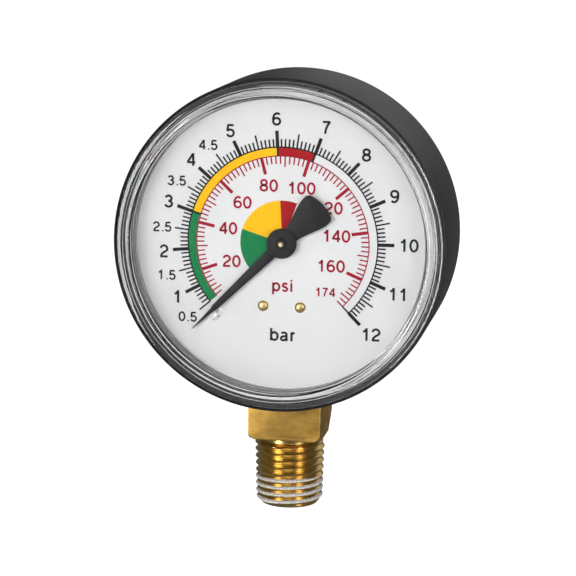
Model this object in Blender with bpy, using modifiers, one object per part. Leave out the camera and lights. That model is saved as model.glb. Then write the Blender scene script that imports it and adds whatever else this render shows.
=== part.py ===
"""Bourdon-tube pressure gauge, nominal size 63 mm, with a bottom connection.

The case axis lies along Y, the dial faces -Y, and the stem's axis is Z with the stem's end at the origin.
Lengths below are in millimetres. "Forward" is the distance in front of the stem's axis, towards -Y.
Places on the movement are (x, z) from the dial's centre. Blender's own unit here is the metre.
"""

import math

import bmesh
import bpy
from mathutils import Matrix, Vector

MM = 0.001
GAP = 0.3
SCREW_SLOT = 0.32
MERGE = 0.00001

# Case and window; "front" and "back" are distances forward
DIAL_HEIGHT = 53.5
CASE_RADIUS = 31.7
CASE_WALL = 1.9
CASE_BACK = -9.5
CASE_FRONT = 15.3
LIP_INNER_RADIUS = 31.35
LIP_FRONT = 16.1
BACK_WALL = 1.7
CASE_STEPS = 60
FLANGE_RADIUS = 31.05
FLANGE_FRONT = 16.7
PANE_FRONT = 17.0
RING_FRONT = 17.5
PANE_THICKNESS = 1.6
SKIRT_RADIUS = 28.3
SKIRT_WALL = 1.1
SKIRT_BACK = 11.5
SNAP_FORWARD = 13.6
SNAP_ANGLES = (65.9, 75.3)
PEG_ANGLE = 229.3
PEG_ORBIT = 18.3
PEG_RADIUS = 0.65
PLUG_RADIUS = 5.6
PLUG_HEIGHT = 11.0
CASE_PAD_WIDTH = 15.2
CASE_PAD_HEIGHTS = (26.2, 36.0)
CASE_SCREW_HOLE = 1.7
COUNTERBORE_RADIUS = 3.0
COUNTERBORE_DEPTH = 1.9
CASE_SCREW_HEAD = (2.6, 1.4)
CASE_SCREW_SHANK = (1.35, 5.5)
SLIT_WIDTH = 0.24

# Stem: a tapered pipe thread of nominal size 1/4 NPT, eighteen threads to the inch
THREAD_RADIUS = 6.9
THREAD_PITCH = 25.4 / 18
THREAD_DEPTH = 0.75
THREAD_TAPER = 1 / 32
THREAD_LENGTH = 12.6
SQUARE = 14.3
SQUARE_BOTTOM = 13.8
FLAT_TOP = 21.8
SOCKET_WIDTH = 13.7
CORNER_RADIUS = 10.05
CHAMFER_RADIUS = 8.3
CHAMFER_OFFSET = -1.4
BORE_RADIUS = 2.6
BORE_DEPTH = 10.0
CHANNEL_RADIUS = 1.1
NECK_RADIUS = 5.9
SOCKET_TOP = 25.9
PAD_TOP = 37.7
OPENING_HEIGHTS = (15.0, 25.2)

# Movement
PAD_FRONT = 3.2
PAD_BACK = -5.1
REAR_PLATE = (3.5, 4.3)
FRONT_PLATE = (8.0, 8.8)
SECTOR_LAYER = (5.2, 6.0)
LINK_LAYER = (6.3, 6.9)
PLAY = 0.1
PIVOT_RADIUS = 0.45
ARBOR_RADIUS = 0.7
LINK_PIN_RADIUS = 0.5
PINION_TEETH = 10
SECTOR_TEETH_IN_CIRCLE = 80
MODULE = 0.35
SECTOR_PIVOT_ANGLE = -74.53
TAIL_LENGTH = 4.6
TAIL_ANGLE = -54.77
PILLARS = {"left": (-7.4, 2.4), "right": (7.4, 3.4), "bottom": (-3.4, -17.6)}
PILLAR_RADIUS = 1.3
MOVEMENT_SCREWS = {"left": (-4.2, -22.6), "right": (4.2, -22.6)}
CASE_SCREWS = {"left": (-3.8, -23.0), "right": (3.8, -23.0)}
DIAL_RIVETS = {"left": (-3.62, -12.42), "right": (3.62, -12.42)}
HAIRSPRING_TURNS = 3.5
HAIRSPRING_LAYER = (6.7, 7.3)
HAIRSPRING_RADII = (1.75, 5.6)
HAIRSPRING_STRIP = 0.22
STUD_ANGLE = 150.0

# Bourdon tube
TUBE_RADIUS = 20.5
TUBE_FORWARD = -0.9
TUBE_WIDTH = 6.6
TUBE_THICKNESS = 2.6
TUBE_WALL = 0.35
TUBE_ROOT_ANGLE = 256.0
TUBE_FREE_ANGLE = 250.0
TUBE_TIP_ANGLE = -25.0
PIN_ORBIT = 18.5
PIN_ANGLE = -30.0

# Dial and pointer
DIAL_RADIUS = 29.2
DIAL_FACE = 10.65
DIAL_THICKNESS = 0.5
POINTER_REST = 225.0
POINTER_LAYER = (11.2, 11.6)
POINTER_TIP = 24.8
POINTER_SHOULDER = 19.0
POINTER_TAIL = 11.1
HUB_RADIUS = 2.9

INK = {
    "black_abs": ((0.035, 0.035, 0.037), 0.38, 0.0),
    "clear_window": ((0.86, 0.88, 0.88), 0.08, 0.0),
    "brass": ((0.55, 0.33, 0.10), 0.35, 1.0),
    "bronze": ((0.42, 0.22, 0.09), 0.32, 1.0),
    "steel": ((0.48, 0.48, 0.49), 0.28, 1.0),
    "rubber": ((0.02, 0.02, 0.02), 0.8, 0.0),
    "white_paint": ((0.78, 0.78, 0.78), 0.45, 0.0),
    "black_paint": ((0.012, 0.012, 0.012), 0.5, 0.0),
}


# ---------------------------------------------------------------- helpers

def polar(radius, degrees):
    angle = math.radians(degrees)
    return Vector((radius * math.cos(angle), radius * math.sin(angle)))


def new_material(slot):
    color, roughness, metallic = INK[slot]
    material = bpy.data.materials.new(slot)
    material.use_nodes = True
    shader = material.node_tree.nodes["Principled BSDF"]
    shader.inputs["Base Color"].default_value = (*color, 1.0)
    shader.inputs["Roughness"].default_value = roughness
    shader.inputs["Metallic"].default_value = metallic
    material.diffuse_color = (*color, 1.0)
    return material


def collection_named(name):
    found = bpy.data.collections.get(name)
    if found is None:
        found = bpy.data.collections.new(name)
        bpy.context.scene.collection.children.link(found)
    return found


def add_object(name, mesh, slot):
    """A part in the gauge's own collection with its own material, or a cutter when it has no slot."""
    obj = bpy.data.objects.new(name, mesh)
    if slot is None:
        collection_named("Cutters").objects.link(obj)
        obj.hide_render = True
        obj.display_type = "WIRE"
        return obj
    collection_named("Pressure gauge").objects.link(obj)
    mesh.materials.append(new_material(slot))
    return obj


def mesh_from(name, bm):
    bmesh.ops.scale(bm, vec=(MM, MM, MM), verts=bm.verts)
    mesh = bpy.data.meshes.new(name)
    bm.to_mesh(mesh)
    bm.free()
    return mesh


def place(obj, x=0.0, z=0.0, forward=0.0, axis=None):
    """Turns an object made in its own XY plane to face the front, measured from the dial's centre."""
    obj.rotation_euler = (math.radians(90), 0, 0)
    obj.location = Vector((x, -forward, z + DIAL_HEIGHT)) * MM
    if axis is not None:
        obj.parent = axis
        obj.matrix_parent_inverse = axis.matrix_world.inverted()
    return obj


def turned(name, profile, slot, steps=20):
    """A profile of (radius, height) turned about Z. It runs top to bottom down its outer side."""
    bm = bmesh.new()
    corners = [bm.verts.new((radius, 0, height)) for radius, height in profile]
    for a, b in zip(corners, corners[1:]):
        bm.edges.new((a, b))
    if profile[0][0] > 0 and profile[-1][0] > 0:
        bm.edges.new((corners[-1], corners[0]))
    mesh = mesh_from(name, bm)
    obj = add_object(name, mesh, slot)
    screw = obj.modifiers.new("Turn", "SCREW")
    screw.axis = "Z"
    screw.steps = screw.render_steps = steps
    screw.use_merge_vertices = True
    screw.merge_threshold = MERGE
    screw.use_smooth_shade = True
    return obj


def disc(name, radius, low, high, slot=None, steps=20):
    return turned(name, [(0, high), (radius, high), (radius, low), (0, low)], slot, steps)


def flat_outline(name, points, low, high, slot):
    """A flat plate with this outline in its own XY plane, from height low to height high."""
    curve = bpy.data.curves.new(name, "CURVE")
    curve.dimensions = "2D"
    curve.fill_mode = "BOTH"
    curve.extrude = (high - low) / 2 * MM
    spline = curve.splines.new("POLY")
    spline.points.add(len(points) - 1)
    spline.use_cyclic_u = True
    for target, point in zip(spline.points, points):
        target.co = (point[0] * MM, point[1] * MM, 0, 1)
    guide = bpy.data.objects.new(name + "_outline", curve)
    bpy.context.scene.collection.objects.link(guide)
    bpy.context.view_layer.update()
    mesh = bpy.data.meshes.new_from_object(guide.evaluated_get(bpy.context.evaluated_depsgraph_get()))
    mesh.name = name
    bpy.data.objects.remove(guide)
    bm = bmesh.new()
    bm.from_mesh(mesh)
    bmesh.ops.remove_doubles(bm, verts=bm.verts, dist=0.000001)
    bmesh.ops.translate(bm, verts=bm.verts, vec=(0, 0, (high + low) / 2 * MM))
    bmesh.ops.recalc_face_normals(bm, faces=bm.faces)
    bm.to_mesh(mesh)
    bm.free()
    mesh.materials.clear()
    return add_object(name, mesh, slot)


def hull_of_circles(circles, steps=20):
    """The outline of a string drawn tight round circles of (x, z, radius)."""
    bm = bmesh.new()
    for x, z, radius in circles:
        at = Matrix.Translation((x, z, 0))
        bmesh.ops.create_circle(bm, segments=steps, radius=radius, matrix=at)
    points = sorted((vert.co.x, vert.co.y) for vert in bm.verts)
    bm.free()

    def half(ordered):
        chain = []
        for p in ordered:
            while len(chain) > 1 and turns_right(chain[-2], chain[-1], p):
                chain.pop()
            chain.append(p)
        return chain[:-1]

    return [Vector(p) for p in half(points) + half(points[::-1])]


def turns_right(a, b, c):
    return (b[0] - a[0]) * (c[1] - a[1]) - (b[1] - a[1]) * (c[0] - a[0]) <= 1e-6


def box(name, low, high, slot=None):
    """A box between two corners, in world millimetres."""
    bm = bmesh.new()
    bmesh.ops.create_cube(bm, size=1)
    low, high = Vector(low), Vector(high)
    bmesh.ops.scale(bm, vec=high - low, verts=bm.verts)
    bmesh.ops.translate(bm, vec=(low + high) / 2, verts=bm.verts)
    return add_object(name, mesh_from(name, bm), slot)


def boolean(obj, other, operation="DIFFERENCE"):
    modifier = obj.modifiers.new(operation.title() + " " + other.name, "BOOLEAN")
    modifier.operation = operation
    modifier.object = other
    return obj


def drill(obj, radius, x, z, low, high, steps=16):
    """A round hole along the case's axis."""
    cutter = disc(f"{obj.name}_hole", radius, low, high, steps=steps)
    return boolean(obj, place(cutter, x, z))


def joint_axis(name, x, z):
    """An empty on a joint's axis, which the pieces that turn about it are parented to."""
    empty = bpy.data.objects.new(name, None)
    empty.empty_display_size = 2 * MM
    empty.location = Vector((x, 0, z + DIAL_HEIGHT)) * MM
    collection_named("Pressure gauge").objects.link(empty)
    bpy.context.view_layer.update()
    return empty


def slotted_screw(name, at, seat, head, shank, axis=None, faces_back=False):
    """A cheese-head screw: head and shank are (radius, length), and its head sits this far forward."""
    head_radius, head_height = head
    shank_radius, shank_length = shank
    profile = [
        (0, head_height), (head_radius - 0.2, head_height), (head_radius, head_height - 0.2),
        (head_radius, 0), (shank_radius, 0), (shank_radius, 0.2 - shank_length),
        (shank_radius - 0.2, -shank_length), (0, -shank_length),
    ]
    screw = turned(name, profile, "steel", 12)
    far, half_slot = 2 * head_radius, SCREW_SLOT / 2
    cutter = box(name + "_slot", (-far, -half_slot, head_height / 2), (far, half_slot, far))
    boolean(screw, cutter)
    for piece in (screw, cutter):
        place(piece, *at, seat, axis)
        if faces_back:
            piece.rotation_euler = (math.radians(-90), 0, 0)
    return screw


# ---------------------------------------------------------------- where the movement's joints are

SECTOR_RADIUS = MODULE * SECTOR_TEETH_IN_CIRCLE / 2
PINION_RADIUS = MODULE * PINION_TEETH / 2
SECTOR_AXIS = polar(SECTOR_RADIUS + PINION_RADIUS, SECTOR_PIVOT_ANGLE)
TAIL_PIN = SECTOR_AXIS + polar(TAIL_LENGTH, TAIL_ANGLE)
TIP_PIN = polar(PIN_ORBIT, PIN_ANGLE)


def uncurling_centre():
    """The point that the tube's tip turns about as the whole tube straightens a little."""
    arc = math.radians(TUBE_FREE_ANGLE - PIN_ANGLE)
    outward = polar(1, PIN_ANGLE)
    along = Vector((-outward.y, outward.x))
    shift = (outward * (1 - math.cos(arc)) + along * (arc - math.sin(arc))) * TUBE_RADIUS / arc
    return outward * TUBE_RADIUS - Vector((shift.y, -shift.x))


TIP_AXIS = uncurling_centre()


# ---------------------------------------------------------------- case

def case_body():
    inner = CASE_RADIUS - CASE_WALL
    profile = [
        (0, CASE_BACK + BACK_WALL),
        (inner - 0.8, CASE_BACK + BACK_WALL),
        (inner, CASE_BACK + BACK_WALL + 0.8),
        (inner, SNAP_FORWARD - 0.8),
        (inner + 0.5, SNAP_FORWARD - 0.5),
        (inner + 0.5, SNAP_FORWARD + 0.5),
        (inner, SNAP_FORWARD + 0.8),
        (inner, CASE_FRONT - 0.2),
        (inner + 0.2, CASE_FRONT),
        (LIP_INNER_RADIUS, CASE_FRONT),
        (LIP_INNER_RADIUS, LIP_FRONT),
        (CASE_RADIUS - 0.1, LIP_FRONT),
        (CASE_RADIUS, LIP_FRONT - 0.1),
        (CASE_RADIUS, CASE_BACK + 1.4),
        (CASE_RADIUS - 0.4, CASE_BACK + 0.4),
        (CASE_RADIUS - 1.4, CASE_BACK),
        (0, CASE_BACK),
    ]
    case = place(turned("case_body", profile, "black_abs", CASE_STEPS))
    half, (low, high) = CASE_PAD_WIDTH / 2, CASE_PAD_HEIGHTS
    pad = box("case_pad", (-half, GAP - PAD_BACK, low), (half, -CASE_BACK - 1.1, high))
    boolean(case, pad, "UNION")
    half, (low, high) = SQUARE / 2 + GAP, OPENING_HEIGHTS
    boolean(case, box("stem_opening", (-half, -half, low), (half, half + 0.05, high)))
    outside = CASE_BACK - 2
    for x, z in CASE_SCREWS.values():
        drill(case, CASE_SCREW_HOLE, x, z, outside, PAD_BACK + 1)
        drill(case, COUNTERBORE_RADIUS, x, z, outside, CASE_BACK + COUNTERBORE_DEPTH)
    return drill(case, PLUG_RADIUS - 1.1, 0, PLUG_HEIGHT, outside, PAD_BACK, steps=24)


def blow_out_plug():
    back, inside = CASE_BACK, CASE_BACK + BACK_WALL
    neck = PLUG_RADIUS - 1.4
    profile = [
        (0, inside + 1.2), (PLUG_RADIUS - 1.0, inside + 1.2), (PLUG_RADIUS - 0.3, inside + 0.2),
        (neck, inside + 0.2), (neck, back - 0.2), (PLUG_RADIUS, back - 0.2),
        (PLUG_RADIUS, back - 0.6), (PLUG_RADIUS - 0.5, back - 1.0), (0, back - 1.0),
    ]
    return place(turned("blow_out_plug", profile, "rubber", 24), 0, PLUG_HEIGHT)


def case_screws():
    for side, at in CASE_SCREWS.items():
        seat = CASE_BACK + COUNTERBORE_DEPTH - GAP
        slotted_screw(f"case_screw_{side}", at, seat, CASE_SCREW_HEAD, CASE_SCREW_SHANK, faces_back=True)


def window():
    """The clear cover: a pane in a raised ring, a flange over the rim, a skirt that snaps in, a peg."""
    pane_back = PANE_FRONT - PANE_THICKNESS
    outer = SKIRT_RADIUS + SKIRT_WALL
    profile = [
        (0, PANE_FRONT),
        (SKIRT_RADIUS - 0.1, PANE_FRONT),
        (SKIRT_RADIUS + 0.2, RING_FRONT - 0.1),
        (SKIRT_RADIUS + 0.5, RING_FRONT),
        (FLANGE_RADIUS - 1.5, RING_FRONT),
        (FLANGE_RADIUS - 1.0, FLANGE_FRONT),
        (FLANGE_RADIUS - 0.2, FLANGE_FRONT - 0.1),
        (FLANGE_RADIUS, FLANGE_FRONT - 0.4),
        (FLANGE_RADIUS, CASE_FRONT + GAP),
        (outer, CASE_FRONT + GAP),
        (outer, SNAP_FORWARD + 0.5),
        (outer + 0.45, SNAP_FORWARD + 0.2),
        (outer + 0.45, SNAP_FORWARD - 0.2),
        (outer, SNAP_FORWARD - 0.5),
        (outer - 0.2, SKIRT_BACK),
        (SKIRT_RADIUS, SKIRT_BACK),
        (SKIRT_RADIUS - 0.1, pane_back - 0.4),
        (SKIRT_RADIUS - 0.5, pane_back),
        (0, pane_back),
    ]
    cover = place(turned("window", profile, "clear_window", CASE_STEPS))
    peg_at = polar(PEG_ORBIT, PEG_ANGLE)
    peg = disc("stop_peg", PEG_RADIUS, DIAL_FACE + 0.35, pane_back + 0.6, steps=16)
    boolean(cover, place(peg, *peg_at), "UNION")
    for angle in SNAP_ANGLES:
        low = (FLANGE_RADIUS - 1, -SLIT_WIDTH / 2, CASE_FRONT)
        slit = box("snap_slit", low, (FLANGE_RADIUS + 1, SLIT_WIDTH / 2, RING_FRONT + 1))
        place(slit)
        slit.rotation_euler = (Matrix.Rotation(math.radians(90), 3, "X")
                               @ Matrix.Rotation(math.radians(angle), 3, "Z")).to_euler()
        boolean(cover, slit)
    return cover


# ---------------------------------------------------------------- stem

def thread(length, turn_steps, rows):
    """A tapered helical thread: a grid whose rows follow the helix, rolled up and cut flat at both ends."""
    turns = math.ceil(length / THREAD_PITCH) + 3
    bm = bmesh.new()
    bmesh.ops.create_grid(bm, x_segments=turn_steps, y_segments=turns * rows, size=0.5)
    for vert in bm.verts:
        share = vert.co.x + 0.5
        row = round((vert.co.y + 0.5) * turns * rows)
        height = (row / rows + share - 2) * THREAD_PITCH
        crest = THREAD_RADIUS - (length - height) * THREAD_TAPER
        radius = crest - THREAD_DEPTH * (1 - abs(2 * (row % rows) / rows - 1))
        vert.co = (*polar(radius, 360 * share), height)
    bmesh.ops.remove_doubles(bm, verts=bm.verts, dist=0.0001)
    for height, way in ((0, -1), (length, 1)):
        geometry = bm.verts[:] + bm.edges[:] + bm.faces[:]
        bmesh.ops.bisect_plane(
            bm, geom=geometry, plane_co=(0, 0, height), plane_no=(0, 0, way), clear_outer=True
        )
    bmesh.ops.holes_fill(bm, edges=bm.edges, sides=0)
    bmesh.ops.recalc_face_normals(bm, faces=bm.faces)
    return mesh_from("thread", bm)


def stem_socket():
    """One brass piece: thread, wrench square, and the pad inside the case that carries the movement.

    The square's lower corners are turned off centre, so its back corners lose more than its front ones.
    """
    half, inner, above = SQUARE / 2, SOCKET_WIDTH / 2, PAD_TOP + 5
    stem = add_object("stem_socket", thread(THREAD_LENGTH, 20, 4), "brass")
    boolean(stem, disc("stem_neck", NECK_RADIUS, THREAD_LENGTH - 1.5, SQUARE_BOTTOM + 1, steps=32), "UNION")
    square = box("stem_square", (-half, -half, SQUARE_BOTTOM), (half, half, FLAT_TOP))
    chamfer = turned("square_chamfer", [
        (0, 40), (CHAMFER_RADIUS + 20, 40), (CHAMFER_RADIUS, SQUARE_BOTTOM), (0, SQUARE_BOTTOM)], None, 32)
    chamfer.location.y += CHAMFER_OFFSET * MM
    boolean(stem, boolean(square, chamfer, "INTERSECT"), "UNION")
    upper = box("stem_socket_top", (-inner, -inner, FLAT_TOP - 1), (inner, inner, SOCKET_TOP))
    boolean(stem, upper, "UNION")
    pad = box("stem_pad", (-inner, -PAD_FRONT, SOCKET_TOP - 1), (inner, -PAD_BACK, PAD_TOP))
    boolean(stem, pad, "UNION")
    neck, root = NECK_RADIUS + 0.1, THREAD_RADIUS + 0.3
    envelope = [
        (0, above), (CORNER_RADIUS, above), (CORNER_RADIUS, SQUARE_BOTTOM), (neck, SQUARE_BOTTOM),
        (neck, THREAD_LENGTH + 0.2), (root, THREAD_LENGTH - 0.6), (root, 1.6), (5.7, 0), (0, 0),
    ]
    boolean(stem, turned("stem_envelope", envelope, None, 32), "INTERSECT")
    channel_top = DIAL_HEIGHT - TUBE_RADIUS
    bore = [
        (0, channel_top), (CHANNEL_RADIUS, channel_top), (CHANNEL_RADIUS, BORE_DEPTH + 1.2),
        (BORE_RADIUS, BORE_DEPTH), (BORE_RADIUS, -2), (0, -2),
    ]
    boolean(stem, turned("pressure_bore", bore, None, 20))
    boolean(stem, bourdon_arc("tube_slot", TUBE_ROOT_ANGLE + 0.8, 238, 0.2, steps=8))
    boolean(stem, bourdon_arc("cross_channel", 272, TUBE_ROOT_ANGLE - 1, -TUBE_WALL, steps=4))
    for x, z in MOVEMENT_SCREWS.values():
        drill(stem, 1.0, x, z, 0.1, PAD_FRONT + 1)
    for x, z in CASE_SCREWS.values():
        drill(stem, 1.65, x, z, PAD_BACK - 1, -1.7)
    return stem


def restrictor_screw():
    low, high, radius = 5.0, 9.0, BORE_RADIUS - GAP
    profile = [(0.4, high), (radius - 0.3, high), (radius, high - 0.3), (radius, low + 0.2),
               (radius - 0.2, low), (0.4, low)]
    screw = turned("restrictor_screw", profile, "brass", 20)
    return boolean(screw, box("restrictor_slot", (-4, -0.3, low - 1), (4, 0.3, low + 0.8)))


# ---------------------------------------------------------------- Bourdon tube

def bourdon_arc(name, root_angle, tip_angle, grow, slot=None, steps=30, sides=12):
    """A flattened tube, or the room round it, bent along the arc from its root to its tip."""
    bm = bmesh.new()
    upright = Matrix.Rotation(math.radians(90), 4, "X")
    bmesh.ops.create_circle(bm, cap_ends=True, segments=sides, radius=1, matrix=upright)
    section = (TUBE_THICKNESS / 2 + grow, 1, TUBE_WIDTH / 2 + grow)
    bmesh.ops.scale(bm, vec=section, verts=bm.verts)
    bmesh.ops.translate(bm, vec=(TUBE_RADIUS, 0, TUBE_FORWARD), verts=bm.verts)
    to_tip = Matrix.Rotation(math.radians(tip_angle), 3, "Z")
    bmesh.ops.rotate(bm, cent=(0, 0, 0), matrix=to_tip, verts=bm.verts)
    bmesh.ops.spin(
        bm, geom=bm.verts[:] + bm.edges[:] + bm.faces[:], cent=(0, 0, 0), axis=(0, 0, 1),
        angle=math.radians(root_angle - tip_angle), steps=steps, use_merge=False,
    )
    bmesh.ops.recalc_face_normals(bm, faces=bm.faces)
    return place(add_object(name, mesh_from(name, bm), slot))


def bourdon_tube():
    """The hollow tube, open at its root, where the pressure comes in."""
    tube = bourdon_arc("bourdon_tube", TUBE_ROOT_ANGLE, TUBE_TIP_ANGLE, 0, "bronze")
    return boolean(tube, bourdon_arc("tube_hollow", TUBE_ROOT_ANGLE + 2, TUBE_TIP_ANGLE + 1.5, -TUBE_WALL))


def tube_end_piece(axis):
    """The brass cap on the tube's end, with the lug that the link hangs on."""
    end = polar(TUBE_RADIUS, TUBE_TIP_ANGLE - 6.5)
    outline = hull_of_circles([(*end, 2.0), (*TIP_PIN, 1.5)])
    back = TUBE_FORWARD - TUBE_WIDTH / 2
    piece = place(flat_outline("tube_end_piece", outline, back, SECTOR_LAYER[1], "brass"), axis=axis)
    return drill(piece, LINK_PIN_RADIUS + PLAY, *TIP_PIN, 4.2, 7)


# ---------------------------------------------------------------- movement

def gear_tooth(pitch_radius, teeth, addendum, dedendum):
    """Half an involute tooth, as (radius, half its angle in degrees) from its root to its tip."""
    backlash, pressure_angle = 0.08, math.radians(20)
    base = pitch_radius * math.cos(pressure_angle)
    at_pitch = math.pi / 2 / teeth - backlash / 2 / pitch_radius + math.tan(pressure_angle) - pressure_angle
    half = []
    for radius in (pitch_radius - dedendum, pitch_radius - dedendum / 2, pitch_radius,
                   pitch_radius + addendum / 2, pitch_radius + addendum):
        slope = math.acos(min(1.0, base / radius))
        half.append((radius, math.degrees(at_pitch - math.tan(slope) + slope)))
    return half


def toothed_arc(half_tooth, middles):
    """The outline of teeth about these angles, anticlockwise."""
    points = []
    for middle in middles:
        points += [polar(radius, middle - spread) for radius, spread in half_tooth]
        points += [polar(radius, middle + spread) for radius, spread in reversed(half_tooth)]
    return points


def sector_gear(axis):
    """The toothed sector. Its tail turns with it and is what the link pulls."""
    pitch = 360 / SECTOR_TEETH_IN_CIRCLE
    facing = SECTOR_PIVOT_ANGLE + 180
    middles = [facing + pitch / 2 - pitch * step for step in range(9, -1, -1)]
    tooth = gear_tooth(SECTOR_RADIUS, SECTOR_TEETH_IN_CIRCLE, 0.2, 0.46)
    outline = toothed_arc(tooth, middles)
    outline += [polar(1.6, middles[-1] + 70), polar(1.6, middles[0] - 70)]
    x, z = SECTOR_AXIS
    gear = place(flat_outline("sector_gear", outline, *SECTOR_LAYER, "brass"), x, z, axis=axis)
    low, high = SECTOR_LAYER
    tail = hull_of_circles([(0, 0, 2.3), (*polar(TAIL_LENGTH, TAIL_ANGLE), 1.3)])
    boolean(gear, place(flat_outline("sector_tail", tail, low, high, None), x, z), "UNION")
    inner, outer, edge = 5.0, SECTOR_RADIUS - 2.0, 8.0
    angles = [middles[0] + edge + (middles[-1] - middles[0] - 2 * edge) * i / 6 for i in range(7)]
    window_outline = [polar(outer, a) for a in angles] + [polar(inner, a) for a in (angles[-1], angles[0])]
    opening = flat_outline("sector_opening", window_outline, low - 1, high + 1, None)
    boolean(gear, place(opening, x, z))
    drill(gear, 0.8 + PLAY, x, z, low - 1, high + 1)
    return drill(gear, LINK_PIN_RADIUS + PLAY, *TAIL_PIN, low - 1, high + 1)


def sector_arbor(axis):
    rear, front = REAR_PLATE[1] + PLAY, FRONT_PLATE[0] - PLAY
    profile = [
        (0, front + 0.85), (PIVOT_RADIUS, front + 0.85), (PIVOT_RADIUS, front), (0.8, front),
        (0.8, rear), (PIVOT_RADIUS, rear), (PIVOT_RADIUS, rear - 0.85), (0, rear - 0.85),
    ]
    return place(turned("sector_arbor", profile, "steel", 16), *SECTOR_AXIS, axis=axis)


def pinion_arbor(axis):
    """The shaft that the pointer sits on, with the pinion's leaves cut on it."""
    rear, front, tip = REAR_PLATE[1] + PLAY, FRONT_PLATE[0] - PLAY, 12.8
    profile = [
        (0, tip), (0.4, tip), (PIVOT_RADIUS, tip - 0.2), (0.5, tip - 1.8), (0.55, front),
        (ARBOR_RADIUS, front), (ARBOR_RADIUS, rear), (PIVOT_RADIUS, rear),
        (PIVOT_RADIUS, rear - 0.85), (0, rear - 0.85),
    ]
    arbor = place(turned("pinion_arbor", profile, "brass", 16), axis=axis)
    tooth = gear_tooth(PINION_RADIUS, PINION_TEETH, 0.32, 0.42)
    middles = [SECTOR_PIVOT_ANGLE + 360 * i / PINION_TEETH for i in range(PINION_TEETH)]
    low, high = SECTOR_LAYER
    leaves = flat_outline("pinion_leaves", toothed_arc(tooth, middles), low - 0.3, high + 0.3, None)
    return boolean(arbor, place(leaves), "UNION")


def link(axis):
    outline = hull_of_circles([(*TAIL_PIN, 1.0), (*TIP_PIN, 1.15)])
    strip = place(flat_outline("link", outline, *LINK_LAYER, "brass"), axis=axis)
    drill(strip, LINK_PIN_RADIUS + 0.15, *TAIL_PIN, 6, 7.2)
    return drill(strip, LINK_PIN_RADIUS + 0.25, *TIP_PIN, 6, 7.2)


def link_screws(sector_axis, tip_axis):
    seat = LINK_LAYER[1] + PLAY
    for name, pin, axis, length in (("tail", TAIL_PIN, sector_axis, 2.0), ("tip", TIP_PIN, tip_axis, 2.6)):
        slotted_screw(f"link_screw_{name}", pin, seat, (1.0, 0.6), (LINK_PIN_RADIUS, length), axis)


def hairspring():
    inner, outer = HAIRSPRING_RADII
    steps, half = round(HAIRSPRING_TURNS * 18), HAIRSPRING_STRIP / 2
    spiral = [(inner + (outer - inner) * i / steps, STUD_ANGLE + 360 * HAIRSPRING_TURNS * (i / steps - 1))
              for i in range(steps + 1)]
    outline = [polar(radius + half, angle) for radius, angle in spiral]
    outline += [polar(radius - half, angle) for radius, angle in reversed(spiral)]
    return place(flat_outline("hairspring", outline, *HAIRSPRING_LAYER, "bronze"))


def hairspring_collet(axis):
    low, high = HAIRSPRING_LAYER[0] - 0.2, HAIRSPRING_LAYER[1] + 0.2
    hole, outer = ARBOR_RADIUS + PLAY, 1.45
    profile = [(hole, high), (outer - 0.1, high), (outer, high - 0.1), (outer, low), (hole, low)]
    return place(turned("hairspring_collet", profile, "brass", 20), axis=axis)


def hairspring_stud():
    at = polar(HAIRSPRING_RADII[1] + 0.65, STUD_ANGLE)
    low, high = HAIRSPRING_LAYER[0] - PLAY, FRONT_PLATE[1] - PLAY
    return place(disc("hairspring_stud", 0.35, low, high, "brass"), *at)


def movement_plates():
    pillars = [(x, z, 2.2) for x, z in PILLARS.values()]
    feet = [(x, z - 0.4, 2.1) for x, z in MOVEMENT_SCREWS.values()]
    rivets = [(x, z, 1.8) for x, z in DIAL_RIVETS.values()]
    pivot = (*SECTOR_AXIS, 2.0)
    rear = flat_outline("movement_rear_plate", hull_of_circles(pillars + feet), *REAR_PLATE, "brass")
    front_outline = hull_of_circles(pillars + rivets + [pivot])
    front = flat_outline("movement_front_plate", front_outline, *FRONT_PLATE, "brass")
    for plate, (low, high) in ((rear, REAR_PLATE), (front, FRONT_PLATE)):
        place(plate)
        drill(plate, PIVOT_RADIUS + PLAY, *SECTOR_AXIS, low - 1, high + 1)
        drill(plate, PIVOT_RADIUS + (PLAY if plate is rear else 2 * PLAY), 0, 0, low - 1, high + 1)
        for x, z in PILLARS.values():
            drill(plate, 0.8, x, z, low - 1, high + 1)
    for x, z in MOVEMENT_SCREWS.values():
        drill(rear, 1.0, x, z, 3, 5)
    for x, z in DIAL_RIVETS.values():
        drill(front, 0.75, x, z, 7, 10)
    drill(front, 0.5, *polar(HAIRSPRING_RADII[1] + 0.65, STUD_ANGLE), 7, 10)


def pillars_and_screws():
    """Pillars riveted in the rear plate, the front plate's screws, and those into the socket."""
    rear, front = REAR_PLATE[1] + PLAY, FRONT_PLATE[0] - PLAY
    for side, (x, z) in PILLARS.items():
        bore = 0.7
        profile = [
            (0, front - 1.6), (bore, front - 1.6), (bore, front), (PILLAR_RADIUS, front),
            (PILLAR_RADIUS, rear), (bore, rear), (bore, rear - 0.85), (0, rear - 0.85),
        ]
        place(turned(f"pillar_{side}", profile, "brass", 12), x, z)
        slotted_screw(f"plate_screw_{side}", (x, z), FRONT_PLATE[1] + PLAY, (1.4, 0.7), (0.55, 2.3))
    for side, at in MOVEMENT_SCREWS.items():
        slotted_screw(f"movement_screw_{side}", at, REAR_PLATE[1] + PLAY, (1.6, 0.9), (0.8, 3.9))


# ---------------------------------------------------------------- dial and pointer

def dial():
    back = DIAL_FACE - DIAL_THICKNESS
    plate = place(disc("dial", DIAL_RADIUS, back, DIAL_FACE, "white_paint", CASE_STEPS))
    drill(plate, 1.3, 0, 0, back - 1, DIAL_FACE + 1)
    for x, z in DIAL_RIVETS.values():
        drill(plate, 1.07, x, z, back - 1, DIAL_FACE + 1)
    return plate


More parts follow.
